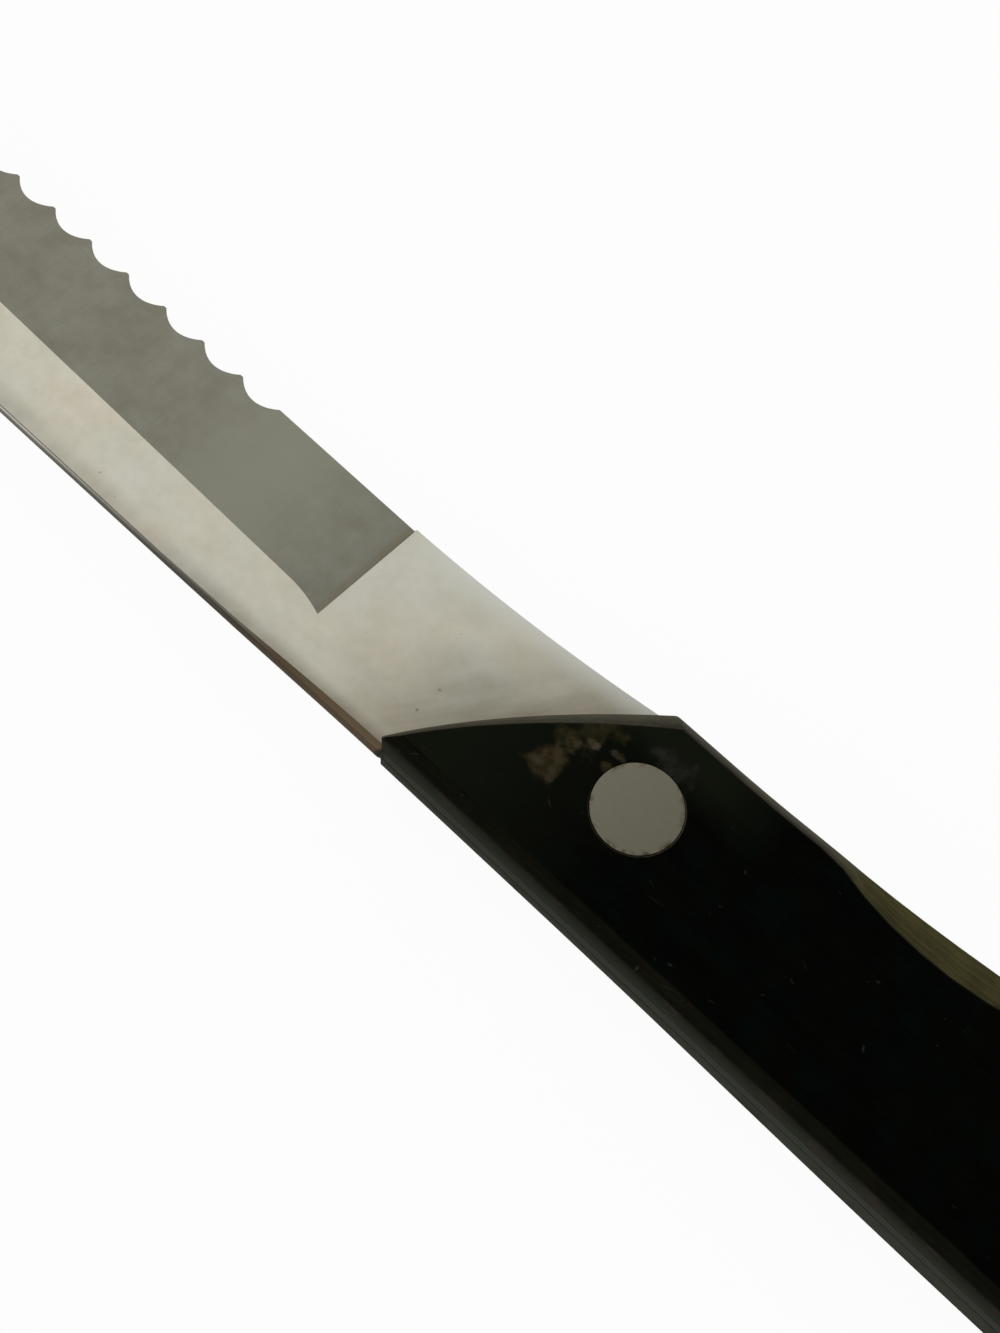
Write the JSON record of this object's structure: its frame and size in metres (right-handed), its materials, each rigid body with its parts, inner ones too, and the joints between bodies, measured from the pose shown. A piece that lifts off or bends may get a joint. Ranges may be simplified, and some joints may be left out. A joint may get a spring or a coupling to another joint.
{
  "type": "serrated knife",
  "caption": "Straight slicing knife with a scalloped cutting edge, a wide ground bevel, and a full tang riveted between two dark wooden scales with a slanted front",
  "frame": {"origin": "on the flat outer face of the left scale, on the rivet line, halfway between the front and the middle rivet", "axes": "+X along the knife from the tip to the butt, +Y across it from the spine to the cutting edge, +Z out of the right-hand face; the knife lies on its left scale"},
  "size_m": [0.315, 0.0243, 0.0109],
  "materials": {
    "blade_steel": "satin",
    "scale_wood": "satin",
    "rivet_metal": "satin"
  },
  "bodies": {
    "root": {"blade": "blade_steel", "right_scale": "scale_wood", "left_scale": "scale_wood", "front_rivet_pin": "rivet_metal", "front_rivet_socket": "rivet_metal", "middle_rivet_pin": "rivet_metal", "middle_rivet_socket": "rivet_metal", "rear_rivet_pin": "rivet_metal", "rear_rivet_socket": "rivet_metal"}
  },
  "joints": []
}
